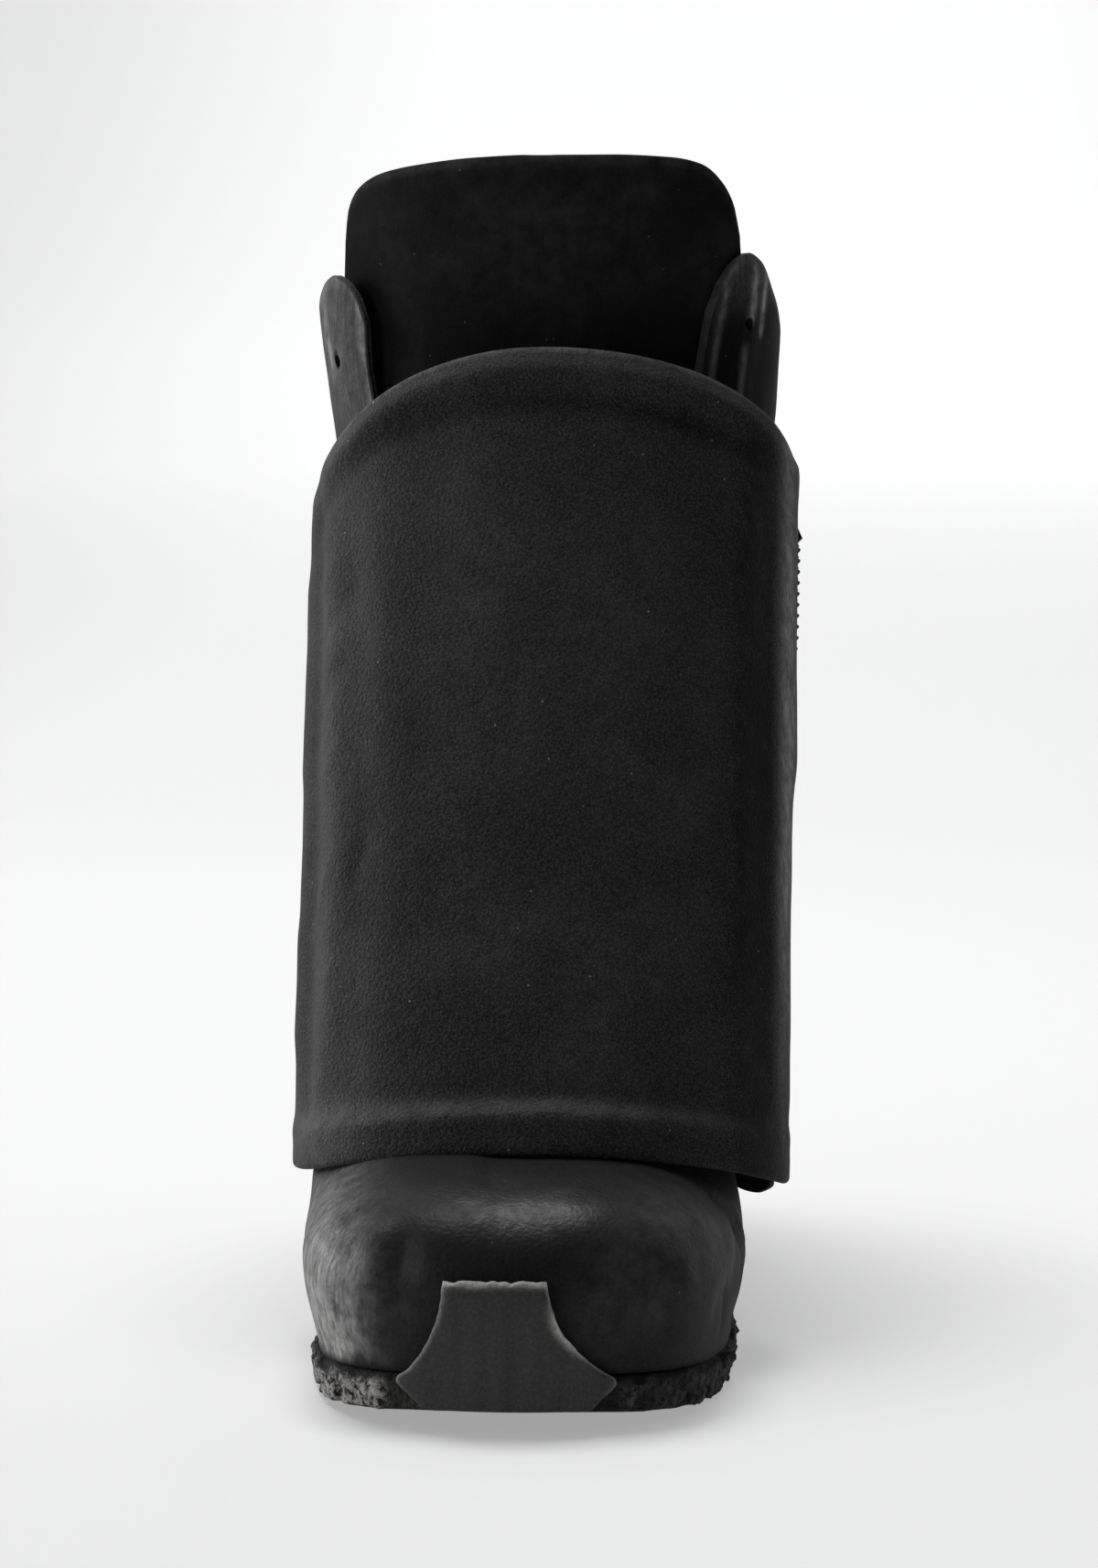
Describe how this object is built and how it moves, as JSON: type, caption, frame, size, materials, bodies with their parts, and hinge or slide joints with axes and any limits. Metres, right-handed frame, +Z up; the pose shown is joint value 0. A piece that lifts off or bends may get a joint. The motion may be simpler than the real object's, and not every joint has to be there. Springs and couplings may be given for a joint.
{
  "type": "high-top sneaker",
  "caption": "Tall black leather high-top sneaker with a stiff zip-on front shield over the throat, a wide standing tongue, punched collar ears and a lugged rubber sole with a toe bumper.",
  "frame": {"origin": "on the floor under the middle of the outer box", "axes": "+Z up, toe towards -Y, heel towards +Y, the wearer's inner side towards +X"},
  "size_m": [0.1257, 0.2896, 0.2955],
  "materials": {
    "upper_leather": "waxed, mottled black",
    "flap_leather": "matte, nubuck-like black",
    "tongue_leather": "plain soft black",
    "insole_leather": "smooth black sock lining",
    "sole_rubber": "matte, rough",
    "bumper_rubber": "smooth matte",
    "zip_tape": "woven black tape",
    "zip_metal": "blackened"
  },
  "bodies": {
    "root": {"outsole": "sole_rubber", "toe_bumper": "bumper_rubber", "insole": "insole_leather", "upper": "upper_leather", "tongue": "tongue_leather", "front_flap": "flap_leather", "zip_tape": "zip_tape", "zip_teeth": "zip_metal", "zip_slider": "zip_metal"}
  },
  "joints": []
}
